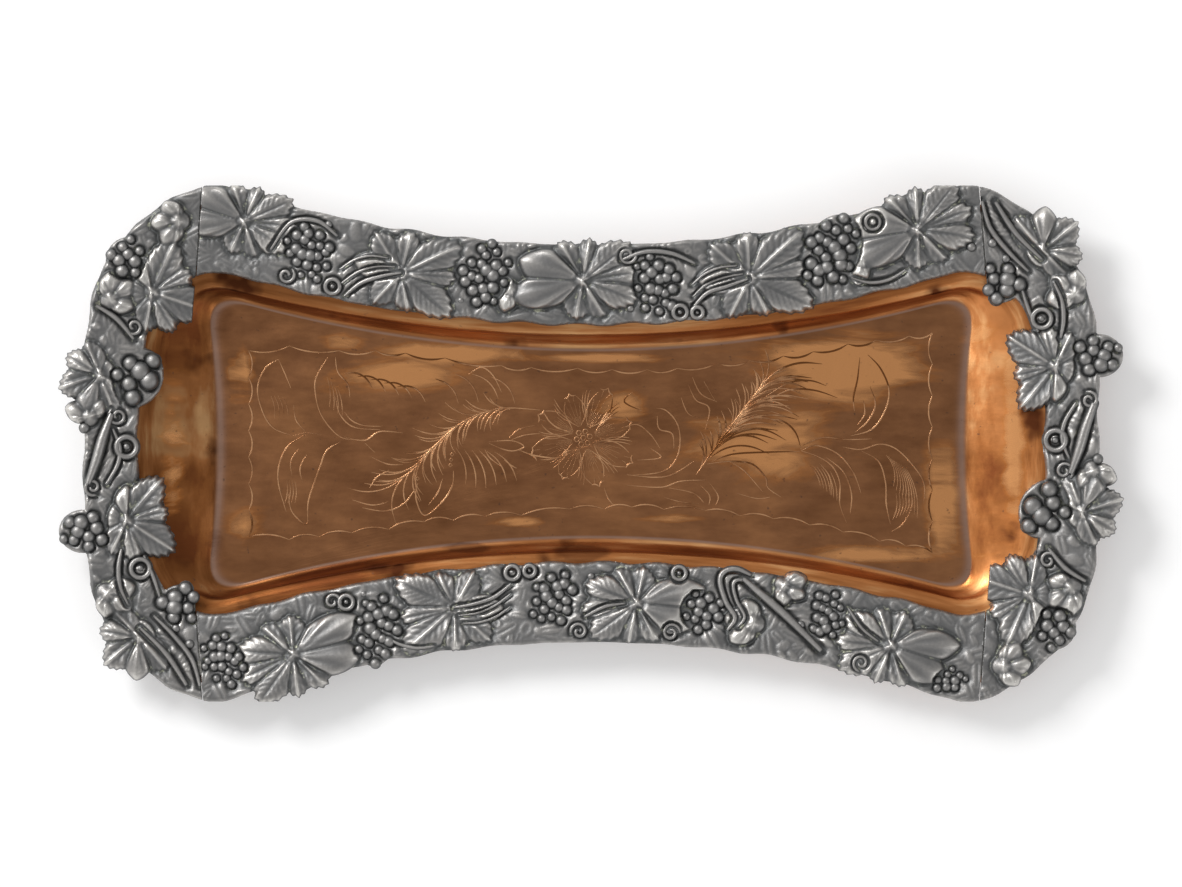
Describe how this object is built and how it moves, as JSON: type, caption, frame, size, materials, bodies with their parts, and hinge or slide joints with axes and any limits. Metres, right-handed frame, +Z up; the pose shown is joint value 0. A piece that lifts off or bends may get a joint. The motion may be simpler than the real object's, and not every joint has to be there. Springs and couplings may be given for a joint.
{
  "type": "tray",
  "caption": "Shallow waisted serving tray: a pressed copper well with engraved flowers, and a rim carrying four cast grapevine borders soldered on.",
  "frame": {"origin": "under the middle of the well, on the surface the tray stands on", "axes": "+X along the tray, +Y to the back and +Z up"},
  "size_m": [0.3208, 0.155, 0.0167],
  "materials": {
    "copper": "old pressed copper, worn bright in patches and toned brown elsewhere",
    "silvered_casting": "silver-plated white-metal casting, blackened in its hollows and polished on its high points",
    "solder": "dull soft solder"
  },
  "bodies": {
    "root": {"tray_body": "copper", "back_border": "silvered_casting", "front_border": "silvered_casting", "left_border": "silvered_casting", "right_border": "silvered_casting", "back_solder_run": "solder", "front_solder_run": "solder", "left_solder_run": "solder", "right_solder_run": "solder", "back_left_corner_solder": "solder", "back_right_corner_solder": "solder", "front_left_corner_solder": "solder", "front_right_corner_solder": "solder"}
  },
  "joints": []
}
